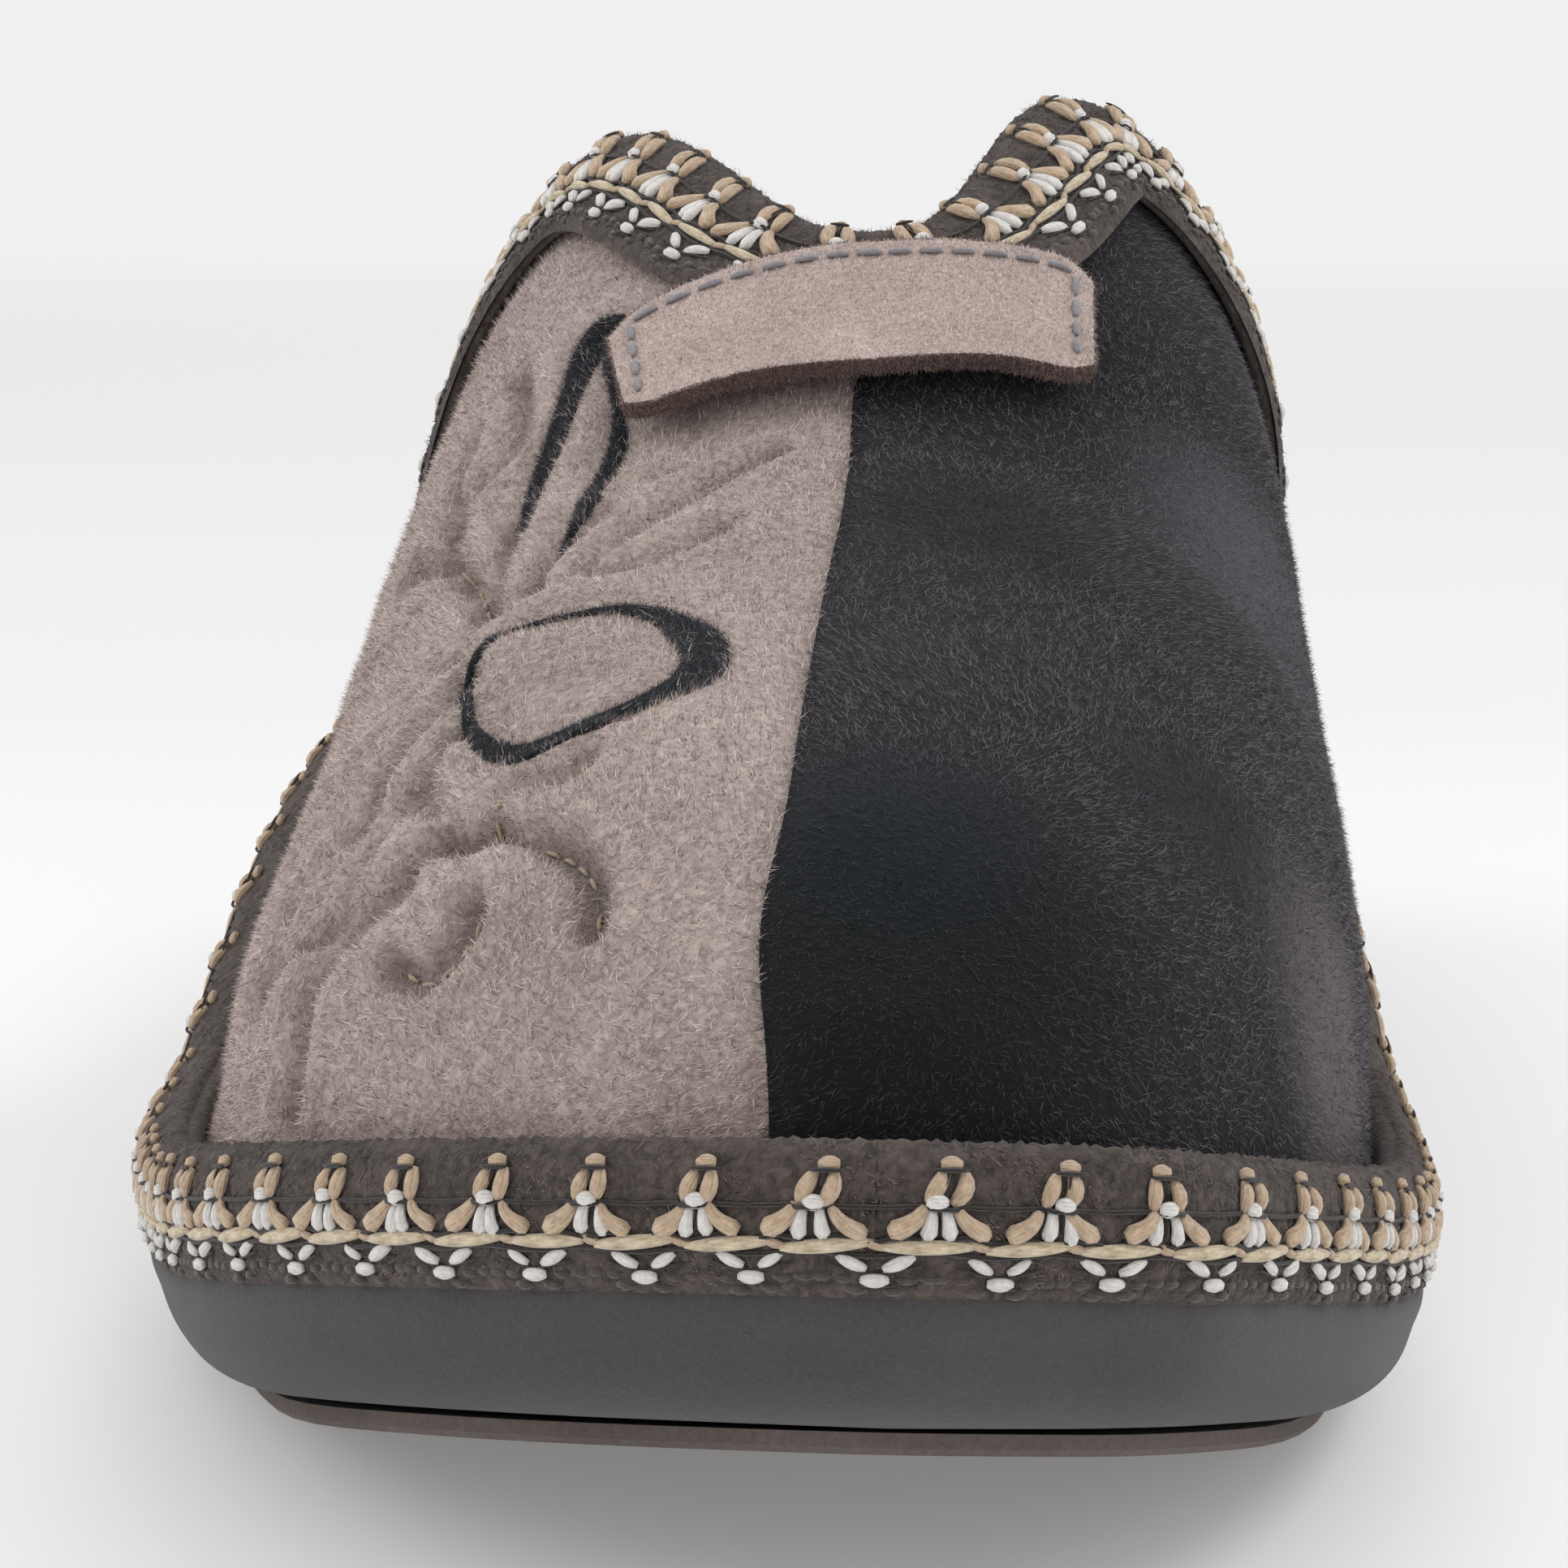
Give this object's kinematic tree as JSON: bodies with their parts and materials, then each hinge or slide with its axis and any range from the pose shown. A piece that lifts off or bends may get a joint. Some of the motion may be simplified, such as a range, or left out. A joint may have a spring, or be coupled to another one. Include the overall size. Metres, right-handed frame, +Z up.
{
  "type": "mule slipper",
  "caption": "Felt mule slipper on a covered wedge sole, with a closed toe, open back, V-shaped throat, suede tab and rolled embroidered ribbon edges.",
  "frame": {"origin": "on the floor under the middle of the slipper's box", "axes": "+Z up, +Y from toe to heel, +X to the inner (big-toe) side"},
  "size_m": [0.1058, 0.262, 0.1053],
  "materials": {
    "outsole": "matt, fine grain",
    "sole_cover": "short-nap suede cloth",
    "ribbon": "knitted ribbon with thick yarns",
    "insole": "felt",
    "felt": "brushed felt, light half and dark half",
    "suede": "suede"
  },
  "bodies": {
    "root": {"outsole": "outsole", "wedge": "sole_cover", "sole_ribbon": "ribbon", "insole": "insole", "vamp": "felt", "collar_ribbon": "ribbon", "throat_tab": "suede"}
  },
  "joints": []
}
